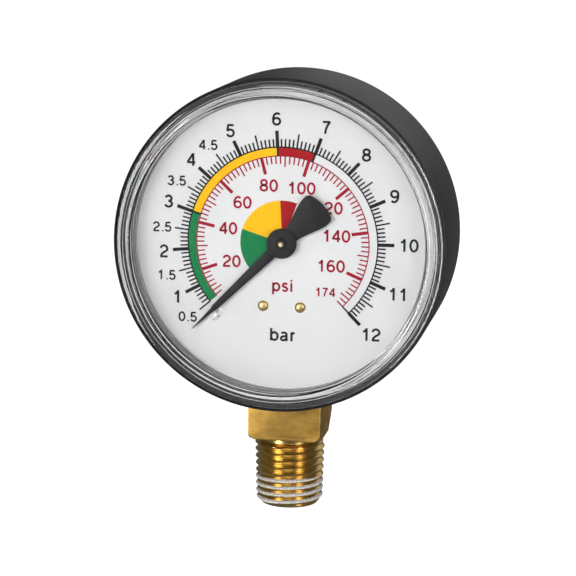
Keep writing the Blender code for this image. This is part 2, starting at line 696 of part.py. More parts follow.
def dial_rivets():
    """Posts on the front plate: the dial rests on their shoulders and their ends show through it."""
    shoulder, foot = DIAL_FACE - DIAL_THICKNESS - PLAY, FRONT_PLATE[1] + PLAY
    for side, (x, z) in DIAL_RIVETS.items():
        profile = [
            (0, DIAL_FACE + 0.3), (0.75, DIAL_FACE + 0.3), (0.85, DIAL_FACE + 0.2), (0.85, shoulder),
            (1.5, shoulder), (1.5, foot), (0.6, foot), (0.6, foot - 0.85), (0, foot - 0.85),
        ]
        place(turned(f"dial_rivet_{side}", profile, "brass", 20), x, z)


def pointer_outline():
    """One side of the pointer, from its tip to the middle of its tail, then the other side mirrored."""
    neck, lobe, flare = 1.55, 3.4, 1.25
    side = [(POINTER_TIP, 0.0), (POINTER_TIP - 0.3, 0.08), (POINTER_SHOULDER, 0.42),
            (POINTER_SHOULDER - 0.5, 0.6), (2.4, 1.1), (1.2, neck), (-2.0, neck)]
    lobe_x = -POINTER_TAIL + flare + 0.35
    for i in range(1, 6):
        share = i / 6
        ease = share * share * (3 - 2 * share)
        side.append((-2.0 + (lobe_x + 2.0) * share, neck + (lobe - neck) * ease))
    for i in range(6):
        corner = Vector((lobe_x, lobe - flare)) + polar(flare, 90 + 15 * i)
        side.append(tuple(corner))
    side.append((-POINTER_TAIL, 0.0))
    return [Vector(p) for p in side] + [Vector((x, -y)) for x, y in side[-2:0:-1]]


def pointer(axis):
    low, high = POINTER_LAYER
    outline = [Matrix.Rotation(math.radians(POINTER_REST), 2) @ p for p in pointer_outline()]
    blade = place(flat_outline("pointer", outline, low, high, "black_paint"), axis=axis)
    profile = [
        (0, high + 0.85), (0.95, high + 0.85), (1.1, high + 0.7), (1.1, high + 0.35),
        (HUB_RADIUS - 0.2, high + 0.35), (HUB_RADIUS, high + 0.15), (HUB_RADIUS, low - 0.1), (0, low - 0.1),
    ]
    boolean(blade, place(turned("pointer_hub", profile, None, 32)), "UNION")
    return drill(blade, 0.6, 0, 0, low - 1, high + 2)


def shade_round_pieces():
    for obj in collection_named("Pressure gauge").objects:
        if obj.type == "MESH":
            obj.data.shade_smooth()
            obj.data.set_sharp_from_angle(angle=math.radians(35))


def main():
    for obj in list(bpy.data.objects):
        bpy.data.objects.remove(obj)
    pointer_axis = joint_axis("pointer_axis", 0, 0)
    sector_axis = joint_axis("sector_axis", *SECTOR_AXIS)
    link_axis = joint_axis("link_axis", *TAIL_PIN)
    tip_axis = joint_axis("tip_axis", *TIP_AXIS)
    case_body()
    window()
    blow_out_plug()
    case_screws()
    stem_socket()
    restrictor_screw()
    bourdon_tube()
    tube_end_piece(tip_axis)
    link(link_axis)
    link_screws(sector_axis, tip_axis)
    sector_gear(sector_axis)
    sector_arbor(sector_axis)
    pinion_arbor(pointer_axis)
    hairspring_collet(pointer_axis)
    hairspring()
    hairspring_stud()
    movement_plates()
    pillars_and_screws()
    dial()
    dial_rivets()
    pointer(pointer_axis)
    shade_round_pieces()


main()
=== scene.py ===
"""Looks of the pressure gauge: every visible piece and finish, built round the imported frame."""

import math

import bmesh
import bpy
from bpy.props import FloatProperty, FloatVectorProperty, IntProperty, PointerProperty
from mathutils import Matrix, Vector, noise


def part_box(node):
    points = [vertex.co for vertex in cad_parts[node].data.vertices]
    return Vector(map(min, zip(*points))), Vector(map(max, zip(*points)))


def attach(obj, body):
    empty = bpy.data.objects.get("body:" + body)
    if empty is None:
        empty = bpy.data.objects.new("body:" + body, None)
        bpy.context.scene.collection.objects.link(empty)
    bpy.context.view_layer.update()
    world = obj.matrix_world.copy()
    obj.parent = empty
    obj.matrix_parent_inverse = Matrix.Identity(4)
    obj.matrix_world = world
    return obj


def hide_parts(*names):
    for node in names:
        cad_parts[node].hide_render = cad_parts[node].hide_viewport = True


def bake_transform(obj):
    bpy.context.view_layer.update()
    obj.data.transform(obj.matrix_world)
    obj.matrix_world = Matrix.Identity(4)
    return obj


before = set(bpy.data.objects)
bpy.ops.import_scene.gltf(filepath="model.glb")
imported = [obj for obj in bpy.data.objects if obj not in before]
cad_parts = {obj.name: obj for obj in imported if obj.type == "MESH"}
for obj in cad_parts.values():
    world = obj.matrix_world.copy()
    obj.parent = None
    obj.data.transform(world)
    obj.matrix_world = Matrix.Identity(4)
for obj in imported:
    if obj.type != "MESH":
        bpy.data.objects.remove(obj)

bl_info = {
    "name": "Pressure Gauge",
    "version": (1, 0, 0),
    "blender": (4, 5, 0),
    "location": "View3D > Sidebar > Gauge",
    "description": "Builds the case, window, stem, dial and pointer of a bottom-connected pressure gauge",
    "category": "Object",
}

MM = 0.001
MERGE = 0.000001
LOW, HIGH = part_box("case_body")
CASE_RADIUS = (HIGH.x - LOW.x) / 2 / MM
CENTRE_HEIGHT = (HIGH.z + LOW.z) / 2 / MM
DIAL_FACE = -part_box("dial")[0].y / MM
CASE_SCREWS = {"left": (-3.8, -23.0), "right": (3.8, -23.0)}  # places from the dial's centre
DIAL_RIVETS = {"left": (-3.62, -12.42), "right": (3.62, -12.42)}
PLUG_HEIGHT = 11.0
PEG_PLACE = (18.3, 229.3)  # distance from the dial's centre, and angle
SNAP_ANGLES = (65.9, 75.3)
PITCH = 25.4 / 18  # eighteen threads to the inch
THREAD_LENGTH = 12.6
THREAD_RADIUS = 6.9  # over the crests, at the top
THREAD_DEPTH = 0.75
THREAD_TAPER = 1 / 32  # on the radius
HALF_SQUARE = 7.15
HALF_SOCKET = 6.85
SQUARE_BOTTOM = 13.8
SQUARE_TOP = 21.8
FLATS_FROM = 14.6
SEALANT_SKIN = 0.06
FIRST_BAR, LAST_BAR = 0.5, 12.0
ZONE_ENDS = (3, 6, 7)  # bar
BAR_RING = (18.33, 18.58)
PSI_RING = (16.65, 16.86)
SIX_BAR_ANGLE = 93.5
DEGREES_PER_BAR = 23.08
PSI_PER_BAR = 14.5038
NUMERAL_SPREAD = 1.05
NIB = 0.178  # the pen's width, as a share of the height
SHORT_NUMERAL = 0.77  # half bars, as a share of the whole numbers' height
POINTER_REST = 225
POINTER_LAYER = (11.2, 11.6)
TUBE_RADIUS = 20.5
TUBE_ROOT = 256
TUBE_SWEEP = 281


def linear(code):
    """An sRGB hex colour as the linear values that a shader takes."""
    parts = [int(code[i:i + 2], 16) / 255 for i in (0, 2, 4)]
    return [p / 12.92 if p <= 0.04045 else ((p + 0.055) / 1.055) ** 2.4 for p in parts]


# ---------------------------------------------------------------- sizes and colours

def length(name, description, default):
    return FloatProperty(
        name=name, description=description, default=default * MM, unit="LENGTH", precision=5)


def paint(name, description, code):
    return FloatVectorProperty(
        name=name, description=description, default=linear(code), subtype="COLOR", size=3,
        min=0.0, max=1.0)


class GaugeSizes(bpy.types.PropertyGroup):
    """Sizes that can change without moving the frame."""
    ink: length("Ink thickness", "How far the printed colours stand above the dial", 0.04)
    band_inner: length("Zone band, inside", "Inner radius of the coloured band between the scales", 16.8)
    band_outer: length("Zone band, outside", "Outer radius of the coloured band between the scales", 18.43)
    zone_radius: length("Centre zones", "Radius of the coloured sectors round the pointer's hub", 8.2)
    bar_numeral: length("Bar numerals", "Height of the whole numbers on the outer scale", 2.44)
    psi_numeral: length("Psi numerals", "Height of the numbers on the inner scale", 2.3)
    sealant_top: length("Sealant height", "How far up the thread the sealant reaches", 5.5)
    case_steps: IntProperty(
        name="Case segments", description="Segments round the case", default=192, min=48)


class GaugeColours(bpy.types.PropertyGroup):
    """Colours of the finishes."""
    case: paint("Case", "Moulded case plastic", "131314")
    dial: paint("Dial", "Enamelled dial plate", "E2E2E3")
    green: paint("Low zone", "Printed low-pressure zone", "007D46")
    yellow: paint("Working zone", "Printed working zone", "FFC000")
    red: paint("High zone", "Printed high-pressure zone", "A80010")
    bar_ink: paint("Bar ink", "Ink of the outer scale", "161616")
    psi_ink: paint("Psi ink", "Ink of the inner scale", "A00028")
    pointer: paint("Pointer", "Pointer lacquer", "0D0D0E")
    square_brass: paint("Square's brass", "Drawn brass of the wrench square", "DCB05A")
    turned_brass: paint("Turned brass", "Turned brass of the thread and bore", "DCBB74")


# ---------------------------------------------------------------- making meshes

def on_dial(x, z, forward):
    """A place given in millimetres from the dial's centre, as a point of the frame."""
    return Vector((x, -forward, CENTRE_HEIGHT + z)) * MM


def polar(radius, degrees):
    return Vector((radius * math.cos(math.radians(degrees)), radius * math.sin(math.radians(degrees))))


def turn(outline, steps, axis="Y", centre=(0, 0)):
    """Turns an outline of (radius, distance along the axis) about the case's or the stem's axis."""
    bm = bmesh.new()
    if axis == "Y":
        origin, direction = on_dial(*centre, 0), (0, 1, 0)
        verts = [bm.verts.new(origin + Vector((r, -along, 0)) * MM) for r, along in outline]
    else:
        origin, direction = Vector((centre[0], centre[1], 0)) * MM, (0, 0, 1)
        verts = [bm.verts.new(origin + Vector((r, 0, along)) * MM) for r, along in outline]
    chain = verts + verts[:1] if outline[0][0] > 0 else verts
    edges = [bm.edges.new(pair) for pair in zip(chain, chain[1:])]
    bmesh.ops.spin(
        bm, geom=verts + edges, cent=origin, axis=direction, dvec=(0, 0, 0),
        angle=math.tau, steps=steps, use_merge=True, use_duplicate=False)
    close_up(bm)
    return bm


def drum(radius, first, last, steps, axis="Y", centre=(0, 0)):
    """A plain cylinder between two distances along the axis."""
    return turn([(0, first), (radius, first), (radius, last), (0, last)], steps, axis, centre)


def close_up(bm):
    """Merges doubled vertices, then turns every face outwards."""
    bmesh.ops.remove_doubles(bm, verts=bm.verts, dist=MERGE)
    bmesh.ops.recalc_face_normals(bm, faces=bm.faces)


def plate(outline, back, front):
    """A flat piece parallel to the dial: its outline, in order, and the distances of its two faces."""
    bm = bmesh.new()
    face = bm.faces.new([bm.verts.new(on_dial(x, z, back)) for x, z in outline])
    raised = bmesh.ops.extrude_face_region(bm, geom=[face])["geom"]
    raised = [v for v in raised if isinstance(v, bmesh.types.BMVert)]
    bmesh.ops.translate(bm, verts=raised, vec=(0, (back - front) * MM, 0))
    bmesh.ops.recalc_face_normals(bm, faces=bm.faces)
    return bm


def block(low, high):
    """A box between two corners, in millimetres of the frame."""
    bm = bmesh.new()
    bmesh.ops.create_cube(bm, size=1)
    low, high = Vector(low), Vector(high)
    bmesh.ops.scale(bm, vec=(high - low) * MM, verts=bm.verts)
    bmesh.ops.translate(bm, vec=(low + high) / 2 * MM, verts=bm.verts)
    return bm


def join(*parts):
    """Puts several meshes into the first."""
    whole = parts[0]
    for part in parts[1:]:
        mesh = bpy.data.meshes.new("part")
        part.to_mesh(mesh)
        part.free()
        whole.from_mesh(mesh)
        bpy.data.meshes.remove(mesh)
    return whole


def carve(body, tool, operation="DIFFERENCE"):
    """Cuts one mesh with another, joins them, or keeps what they share."""
    pair = []
    for bm in (body, tool):
        mesh = bpy.data.meshes.new("carving")
        bm.to_mesh(mesh)
        bm.free()
        pair.append(bpy.data.objects.new("carving", mesh))
        bpy.context.collection.objects.link(pair[-1])
    cut = pair[0].modifiers.new("carve", "BOOLEAN")
    cut.object, cut.operation, cut.solver = pair[1], operation, "EXACT"
    graph = bpy.context.evaluated_depsgraph_get()
    result = bmesh.new()
    result.from_mesh(pair[0].evaluated_get(graph).data)
    for obj in pair:
        mesh = obj.data
        bpy.data.objects.remove(obj)
        bpy.data.meshes.remove(mesh)
    bmesh.ops.remove_doubles(result, verts=result.verts, dist=MERGE)
    return result


def soften(bm, width, segments=2, sharper_than=40):
    """Rounds the hard edges of a piece."""
    limit = math.radians(sharper_than)
    hard = [e for e in bm.edges if len(e.link_faces) == 2 and e.calc_face_angle() > limit]
    bmesh.ops.bevel(
        bm, geom=hard, offset=width * MM, offset_type="OFFSET", segments=segments,
        profile=0.5, affect="EDGES", clamp_overlap=True, material=-1)
    return bm


def add_piece(name, bm, material, body="case", replaces=(), smooth_below=32):
    """Makes the finished object: smooth on its curves, sharp on its corners, riding on its body."""
    limit = math.radians(smooth_below)
    for face in bm.faces:
        face.smooth = True
    for edge in bm.edges:
        edge.smooth = len(edge.link_faces) == 2 and edge.calc_face_angle() < limit
    mesh = bpy.data.meshes.new(name)
    bm.to_mesh(mesh)
    bm.free()
    mesh.materials.append(material)
    obj = bpy.data.objects.new(name, mesh)
    bpy.context.scene.collection.objects.link(obj)
    if body:
        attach(obj, body)
    if replaces:
        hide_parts(*replaces)
    return obj


# ---------------------------------------------------------------- materials

def add_node(tree, kind, links=None, inputs=None, **settings):
    """Adds a node with its settings, its input values, and the sockets that feed it."""
    made = tree.nodes.new(kind)
    for key, value in settings.items():
        setattr(made, key, value)
    for key, value in (inputs or {}).items():
        made.inputs[key].default_value = value
    for key, socket in (links or {}).items():
        tree.links.new(socket, made.inputs[key])
    return made


def blank_material(name):
    material = bpy.data.materials.new(name)
    material.use_nodes = True
    material.node_tree.nodes.clear()
    return material, material.node_tree


def finish(material, tree, shader):
    add_node(tree, "ShaderNodeOutputMaterial", {"Surface": shader})
    return material


def rgba(colour, gain=1.0):
    return (*[min(1.0, c * gain) for c in colour], 1.0)


def noise_pattern(tree, stretch, scale, detail=3.0, roughness=0.5):
    """Noise on the piece's own coordinates; scale is in cells per metre."""
    place = add_node(tree, "ShaderNodeTexCoord")
    mapped = add_node(
        tree, "ShaderNodeMapping", {"Vector": place.outputs["Object"]}, {"Scale": stretch})
    return add_node(
        tree, "ShaderNodeTexNoise", {"Vector": mapped.outputs["Vector"]},
        {"Scale": scale, "Detail": detail, "Roughness": roughness})


def two_tones(tree, factor, first, second, low=0.35, high=0.65):
    ramp = add_node(tree, "ShaderNodeValToRGB", {"Fac": factor})
    ramp.color_ramp.elements[0].position, ramp.color_ramp.elements[0].color = low, first
    ramp.color_ramp.elements[1].position, ramp.color_ramp.elements[1].color = high, second
    return ramp.outputs["Color"]


def grey_range(tree, factor, low, high):
    return add_node(
        tree, "ShaderNodeMapRange", {"Value": factor}, {"To Min": low, "To Max": high}).outputs["Result"]


def bumped(tree, height, distance, strength=1.0):
    return add_node(
        tree, "ShaderNodeBump", {"Height": height}, {"Distance": distance * MM, "Strength": strength}
    ).outputs["Normal"]


def moulded_abs(colour, name="moulded_black_abs", roughness=(0.40, 0.52)):
    """Black ABS from a spark-eroded mould: a fine even grain that spreads the highlights."""
    material, tree = blank_material(name)
    grain = noise_pattern(tree, (1, 1, 1), 4500, 2.0)  # grain of 0.2 mm
    cloud = noise_pattern(tree, (1, 1, 1), 60, 2.0)  # flow marks of 15 mm
    shader = add_node(tree, "ShaderNodeBsdfPrincipled", {
        "Base Color": two_tones(tree, cloud.outputs["Fac"], rgba(colour, 0.9), rgba(colour, 1.12)),
        "Roughness": grey_range(tree, cloud.outputs["Fac"], *roughness),
        "Normal": bumped(tree, grain.outputs["Fac"], 0.012, 0.6),
    }, {"IOR": 1.53})
    return finish(material, tree, shader.outputs["BSDF"])


def clear_polystyrene():
    """Clear crystal polystyrene, injection moulded: glassy, with faint flow marks. Light passes it."""
    material, tree = blank_material("clear_polystyrene")
    flow = noise_pattern(tree, (1, 1, 1), 45, 1.0)  # sink and flow marks some 20 mm across
    surface = bumped(tree, flow.outputs["Fac"], 0.02, 0.25)
    solid = add_node(tree, "ShaderNodeBsdfPrincipled", {"Normal": surface}, {
        "Base Color": (0.945, 0.95, 0.95, 1), "Roughness": 0.015, "IOR": 1.58,
        "Transmission Weight": 1.0})
    open_air = add_node(tree, "ShaderNodeBsdfTransparent", inputs={"Color": (0.93, 0.93, 0.93, 1)})
    path = add_node(tree, "ShaderNodeLightPath")
    mixed = add_node(tree, "ShaderNodeMixShader", {"Fac": path.outputs["Is Shadow Ray"]})
    tree.links.new(solid.outputs["BSDF"], mixed.inputs[1])
    tree.links.new(open_air.outputs["BSDF"], mixed.inputs[2])
    return finish(material, tree, mixed.outputs["Shader"])


def white_enamel(colour):
    """Stoved white enamel on an aluminium plate: a faint orange peel and an even satin."""
    material, tree = blank_material("stoved_white_enamel")
    peel = noise_pattern(tree, (1, 1, 1), 1600, 2.0)  # orange peel of 0.6 mm
    shade = noise_pattern(tree, (1, 1, 1), 110, 3.0)  # cloudiness of 9 mm
    shader = add_node(tree, "ShaderNodeBsdfPrincipled", {
        "Base Color": two_tones(tree, shade.outputs["Fac"], rgba(colour, 0.975), rgba(colour, 1.02)),
        "Roughness": grey_range(tree, shade.outputs["Fac"], 0.42, 0.52),
        "Normal": bumped(tree, peel.outputs["Fac"], 0.006, 0.4),
    }, {"IOR": 1.5})
    return finish(material, tree, shader.outputs["BSDF"])


def printed_ink(name, colour):
    """Pad-printed ink: nearly flat colour that is a touch thinner in places."""
    material, tree = blank_material(name)
    cover = noise_pattern(tree, (1, 1, 1), 2200, 2.0)  # cover varies over 0.4 mm
    shader = add_node(tree, "ShaderNodeBsdfPrincipled", {
        "Base Color": two_tones(tree, cover.outputs["Fac"], rgba(colour, 0.94), rgba(colour, 1.06)),
        "Roughness": grey_range(tree, cover.outputs["Fac"], 0.5, 0.6),
    }, {"IOR": 1.48, "Specular IOR Level": 0.15})
    return finish(material, tree, shader.outputs["BSDF"])


def matt_lacquer(colour):
    """Matt black lacquer on aluminium sheet: a sprayed grain that scatters a soft sheen."""
    material, tree = blank_material("matt_black_lacquer")
    spray = noise_pattern(tree, (1, 1, 1), 3200, 3.0, 0.6)  # spray grain of 0.3 mm
    shader = add_node(tree, "ShaderNodeBsdfPrincipled", {
        "Base Color": two_tones(tree, spray.outputs["Fac"], rgba(colour, 0.7), rgba(colour, 1.5)),
        "Roughness": grey_range(tree, spray.outputs["Fac"], 0.5, 0.62),
        "Normal": bumped(tree, spray.outputs["Fac"], 0.02, 0.8),
    }, {"IOR": 1.5, "Specular IOR Level": 0.3})
    return finish(material, tree, shader.outputs["BSDF"])


def worked_metal(name, colour, stretch, scale, roughness, dark=0.8, depth=0.006):
    """A bare metal with tool marks: stretch is small along the marks and large across them."""
    material, tree = blank_material(name)
    marks = noise_pattern(tree, stretch, scale, 3.0, 0.6)
    patina = noise_pattern(tree, (1, 1, 1), 350, 3.0)  # handling patina of 3 mm
    tone = add_node(tree, "ShaderNodeMix", {
        "Factor": marks.outputs["Fac"],
        "A": two_tones(tree, patina.outputs["Fac"], rgba(colour, dark), rgba(colour)),
        "B": two_tones(tree, patina.outputs["Fac"], rgba(colour, 0.96), rgba(colour, 1.06)),
    }, data_type="RGBA")
    shader = add_node(tree, "ShaderNodeBsdfPrincipled", {
        "Base Color": tone.outputs["Result"],
        "Roughness": grey_range(tree, marks.outputs["Fac"], *roughness),
        "Normal": bumped(tree, marks.outputs["Fac"], depth),
    }, {"Metallic": 1.0})
    return finish(material, tree, shader.outputs["BSDF"])


def thread_sealant():
    """Dried anaerobic sealant: chalky, grey-white and uneven."""
    material, tree = blank_material("dried_thread_sealant")
    lumps = noise_pattern(tree, (1, 1, 1), 2600, 4.0, 0.65)  # lumps of 0.4 mm
    shader = add_node(tree, "ShaderNodeBsdfPrincipled", {
        "Base Color": two_tones(
            tree, lumps.outputs["Fac"], rgba(linear("9C9992")), rgba(linear("D4D3CE")), 0.3, 0.6),
        "Roughness": grey_range(tree, lumps.outputs["Fac"], 0.6, 0.8),
        "Normal": bumped(tree, lumps.outputs["Fac"], 0.08),
    }, {"IOR": 1.45})
    return finish(material, tree, shader.outputs["BSDF"])


def black_rubber():
    """Black nitrile rubber, moulded: soft bloom and no clear highlight."""
    return moulded_abs(linear("1A1A1A"), "moulded_nitrile_rubber", (0.62, 0.78))


# ---------------------------------------------------------------- case, window, plug and screws

def case_mesh(steps):
    """The moulded pan: side wall with a bevelled back corner, flat back, snap groove inside the rim."""
    r = CASE_RADIUS
    outline = [
        (0, -7.8), (28.9, -7.8), (29.5, -7.55), (29.8, -7.0), (29.8, 12.8), (30.3, 13.1),
        (30.3, 14.1), (29.8, 14.4), (29.8, 15.1), (30.0, 15.3), (31.35, 15.3), (31.35, 15.85),
        (31.42, 16.02), (31.52, 16.1), (r - 0.12, 16.08), (r - 0.03, 16.0), (r, 15.85), (r, -8.1),
        (r - 0.12, -8.6), (r - 0.45, -9.1), (r - 0.9, -9.4), (r - 1.5, -9.5), (25.4, -9.5),
        (25.2, -9.35), (24.8, -9.35), (24.6, -9.5), (0, -9.5),
    ]
    pan = turn(outline, steps)
    screw_pad = block((-7.6, 5.4, CENTRE_HEIGHT - 27.3), (7.6, 8.4, CENTRE_HEIGHT - 17.5))
    pan = carve(pan, screw_pad, "UNION")
    pan = carve(pan, block((-7.45, -7.45, 15), (7.45, 7.5, 25.2)))
    screw_hole = [(0, -4), (1.7, -4), (1.7, -7.6), (3.0, -7.6), (3.3, -9.7), (0, -9.7)]
    for place in CASE_SCREWS.values():
        pan = carve(pan, turn(screw_hole, 40, centre=place))
    return carve(pan, drum(4.5, -5, -9.7, 64, centre=(0, PLUG_HEIGHT)))


class GAUGE_OT_case(bpy.types.Operator):
    """Builds the black case."""
    bl_idname = "gauge.case"
    bl_label = "Case"

    def execute(self, context):
        plastic = moulded_abs(context.scene.gauge_colours.case)
        add_piece("case_shell", case_mesh(context.scene.gauge_sizes.case_steps), plastic,
                  replaces=["case_body"])
        return {"FINISHED"}


class GAUGE_OT_window(bpy.types.Operator):
    """Builds the clear snap-in window with its ring, snap slits and stop peg."""
    bl_idname = "gauge.window"
    bl_label = "Window"

    def execute(self, context):
        outline = [
            (0, 17.0), (27.9, 17.0), (28.2, 17.05), (28.4, 17.3), (28.65, 17.45), (28.9, 17.5),
            (29.5, 17.5), (29.68, 17.4), (29.8, 17.1), (29.95, 16.8), (30.15, 16.7), (30.8, 16.65),
            (30.97, 16.55), (31.05, 16.35), (31.05, 15.6), (29.4, 15.6), (29.4, 14.1),
            (29.7, 13.95), (29.85, 13.75), (29.85, 13.45), (29.4, 13.1), (29.2, 11.5),
            (28.3, 11.5), (28.2, 15.0), (28.05, 15.25), (27.8, 15.4), (0, 15.4),
        ]
        pane = turn(outline, context.scene.gauge_sizes.case_steps)
        peg = [(0, 11.0), (0.5, 11.0), (0.62, 11.1), (0.66, 11.3), (0.66, 15.2), (0.9, 15.6), (0, 15.9)]
        pane = carve(pane, turn(peg, 32, centre=polar(*PEG_PLACE)), "UNION")
        for angle in SNAP_ANGLES:
            slit = block((30.15, -17.9, -0.12), (32.5, -15.3, 0.12))
            bmesh.ops.rotate(slit, verts=slit.verts, cent=(0, 0, 0),
                             matrix=Matrix.Rotation(math.radians(-angle), 3, "Y"))
            bmesh.ops.translate(slit, verts=slit.verts, vec=(0, 0, CENTRE_HEIGHT * MM))
            pane = carve(pane, slit)
        add_piece("window_cover", pane, clear_polystyrene(), replaces=["window"],
                  smooth_below=24)
        return {"FINISHED"}


class GAUGE_OT_back(bpy.types.Operator):
    """Builds the rubber blow-out plug and the two case screws."""
    bl_idname = "gauge.back"
    bl_label = "Plug and case screws"

    def execute(self, context):
        plug = [
            (0, -6.7), (4.6, -6.7), (5.2, -7.4), (5.1, -7.6), (4.2, -7.65), (4.2, -9.68),
            (5.5, -9.72), (5.6, -9.85), (5.55, -10.2), (5.2, -10.5), (3.6, -10.5), (3.3, -10.35),
            (3.3, -10.2), (3.0, -10.1), (0, -10.1),
        ]
        add_piece("blow_out_plug_body", turn(plug, 64, centre=(0, PLUG_HEIGHT)), black_rubber(),
                  replaces=["blow_out_plug"])
        zinc = worked_metal("zinc_plated_steel", linear("A9ABAF"), (1, 1, 1), 1500, (0.28, 0.42))
        outline = [
            (0, -2.45), (1.3, -2.45), (1.3, -7.9), (2.5, -7.9), (2.6, -8.0), (2.6, -8.8),
            (2.45, -9.1), (2.1, -9.27), (0, -9.3),
        ]
        for side, (x, z) in CASE_SCREWS.items():
            head = turn(outline, 48, centre=(x, z))
            slot_cut = block((-3, 8.65, -0.32), (3, 9.9, 0.32))
            bmesh.ops.rotate(slot_cut, verts=slot_cut.verts, cent=(0, 0, 0),
                             matrix=Matrix.Rotation(math.radians(24 * x), 3, "Y"))
            bmesh.ops.translate(slot_cut, verts=slot_cut.verts, vec=on_dial(x, z, 0))
            add_piece(f"case_screw_{side}_body", carve(head, slot_cut), zinc,
                      replaces=[f"case_screw_{side}"])
        return {"FINISHED"}


# ---------------------------------------------------------------- stem

def crest_radius(height):
    """The thread's taper: 1 in 16 on the diameter."""
    return THREAD_RADIUS - (THREAD_LENGTH - height) * THREAD_TAPER


def thread_radius(height, phase):
    """Radius of the thread's surface at a height, by its place between two crests."""
    ridge = abs(2 * phase - 1)
    rounded = 0.45 * ridge + 0.55 * ridge * ridge * (3 - 2 * ridge)
    radius = crest_radius(height) - THREAD_DEPTH * (1 - rounded)
    lead_in = 5.5 + max(0.0, height) * 0.95
    run_out = 6.0 + max(0.0, THREAD_LENGTH + 0.25 - height) * 1.4
    return min(radius, lead_in, run_out)


def thread_mesh(around=96, rows=14):
    """A grid whose rows follow the helix, rolled up and cut flat at both ends."""
    turns = math.ceil(THREAD_LENGTH / PITCH) + 4
    bm = bmesh.new()
    bmesh.ops.create_grid(bm, x_segments=around, y_segments=turns * rows, size=0.5)
    for vert in bm.verts:
        share, row = vert.co.x + 0.5, round((vert.co.y + 0.5) * turns * rows)
        height = (row / rows + share - 2) * PITCH
        radius = thread_radius(height, (row % rows) / rows)
        vert.co = (*polar(radius * MM, 360 * share), height * MM)
    bmesh.ops.remove_doubles(bm, verts=bm.verts, dist=MERGE)
    for height, way in ((0, -1), (THREAD_LENGTH + 0.5, 1)):
        bmesh.ops.bisect_plane(bm, geom=bm.verts[:] + bm.edges[:] + bm.faces[:], dist=MERGE / 10,
                               plane_co=(0, 0, height * MM), plane_no=(0, 0, way), clear_outer=True)
    bmesh.ops.holes_fill(bm, edges=bm.edges, sides=0)
    close_up(bm)
    return bm


def sealant_mesh(top, around=72, rows=6):
    """A ribbon that follows the crests, with ragged edges, given a skin's thickness."""
    turns = math.ceil(top / PITCH)
    bm = bmesh.new()
    bmesh.ops.create_grid(bm, x_segments=around * turns, y_segments=rows, size=0.5)
    for vert in bm.verts:
        along, across = (vert.co.x + 0.5) * turns, vert.co.y * 2
        angle = 360 * along
        ragged = 1 + 0.3 * noise.noise(Vector((along * 9, 0, across)))
        width = 0.25 * ragged * min(1.0, along * 4, (turns - along) * 5)
        height = (along + 0.1 + width * across) * PITCH + 0.03
        phase = (width * across + 1) % 1
        radius = thread_radius(height, phase) + 0.02 + 0.03 * (1 - across * across)
        vert.co = (*polar(radius * MM, angle), height * MM)
    bmesh.ops.recalc_face_normals(bm, faces=bm.faces)
    return bm


class GAUGE_OT_stem(bpy.types.Operator):
    """Builds the brass stem, from its thread to the pad inside the case, and the thread's sealant."""
    bl_idname = "gauge.stem"
    bl_label = "Stem"

    def execute(self, context):
        top = CENTRE_HEIGHT - 15.8
        low = SQUARE_BOTTOM
        square = soften(
            block((-HALF_SQUARE, -HALF_SQUARE, low), (HALF_SQUARE, HALF_SQUARE, SQUARE_TOP)), 0.12)
        upper = block((-HALF_SOCKET, -HALF_SOCKET, 21.7), (HALF_SOCKET, HALF_SOCKET, 25.9))
        corners = drum(10.05, 30, low - 1, 128, "Z")
        slope = turn([(0, 40), (28.3, 40), (8.45, low + 0.2), (8.1, low), (0, low)], 128, "Z", (0, -1.4))
        body = carve(carve(carve(square, upper, "UNION"), corners, "INTERSECT"), slope, "INTERSECT")
        pad = block((-HALF_SOCKET, -3.2, 24.9), (HALF_SOCKET, 5.1, top))
        neck = drum(5.9, low - 1.6, low + 1, 96, "Z")
        body = carve(carve(body, pad, "UNION"), carve(thread_mesh(), neck, "UNION"), "UNION")
        bore = [(0, 33), (1.1, 33), (1.1, 11.2), (2.6, 10), (2.6, 0.4), (3.1, -0.1), (3.1, -1), (0, -1)]
        body = carve(body, turn(bore, 64, "Z"))
        colours = context.scene.gauge_colours
        # Lathe rings round the stem's axis: narrow bright lines across the thread.
        turned = worked_metal(
            "turned_brass", colours.turned_brass, (0.25, 0.25, 6), 1300, (0.2, 0.34), 0.66, 0.008)
        # Flats of the bar, faced off across the stem: duller, with soft level lines.
        drawn = worked_metal(
            "drawn_brass_square", colours.square_brass, (0.12, 0.12, 2.4), 1100, (0.44, 0.6), 0.34, 0.06)
        stem = add_piece("stem_body", body, turned, replaces=["stem_socket"],
                         smooth_below=38)
        stem.data.materials.append(drawn)
        for face in stem.data.polygons:
            flat = max(abs(face.normal.x), abs(face.normal.y)) > 0.999 and face.center.z > FLATS_FROM * MM
            face.material_index = 1 if flat else 0
        coat = add_piece("thread_sealant", sealant_mesh(context.scene.gauge_sizes.sealant_top / MM),
                         thread_sealant(), smooth_below=80)
        skin = coat.modifiers.new("skin", "SOLIDIFY")
        skin.thickness, skin.offset = SEALANT_SKIN * MM, 0.0
        return {"FINISHED"}


# ---------------------------------------------------------------- dial and print

def bar_angle(bar):
    """The printed scale: 12 bar is 45 degrees below the horizontal on the right."""
    return SIX_BAR_ANGLE - DEGREES_PER_BAR * (bar - 6)


def arc_band(inner, outer, start, end, back, front, steps_per_turn=240):
    """Part of a flat ring, between two angles, made by turning its cross-section."""
    bm = bmesh.new()
    section = [(inner, back), (outer, back), (outer, front), (inner, front)]
    verts = []
    for radius, along in section:
        place = polar(radius, start)
        verts.append(bm.verts.new(on_dial(place.x, place.y, along)))
    face = bm.faces.new(verts)
    bmesh.ops.spin(
        bm, geom=[face], cent=on_dial(0, 0, 0), axis=(0, 1, 0), dvec=(0, 0, 0),
        angle=math.radians(start - end),
        steps=max(3, round(abs(start - end) / 360 * steps_per_turn)),
        use_merge=False, use_duplicate=False)
    close_up(bm)
    return bm


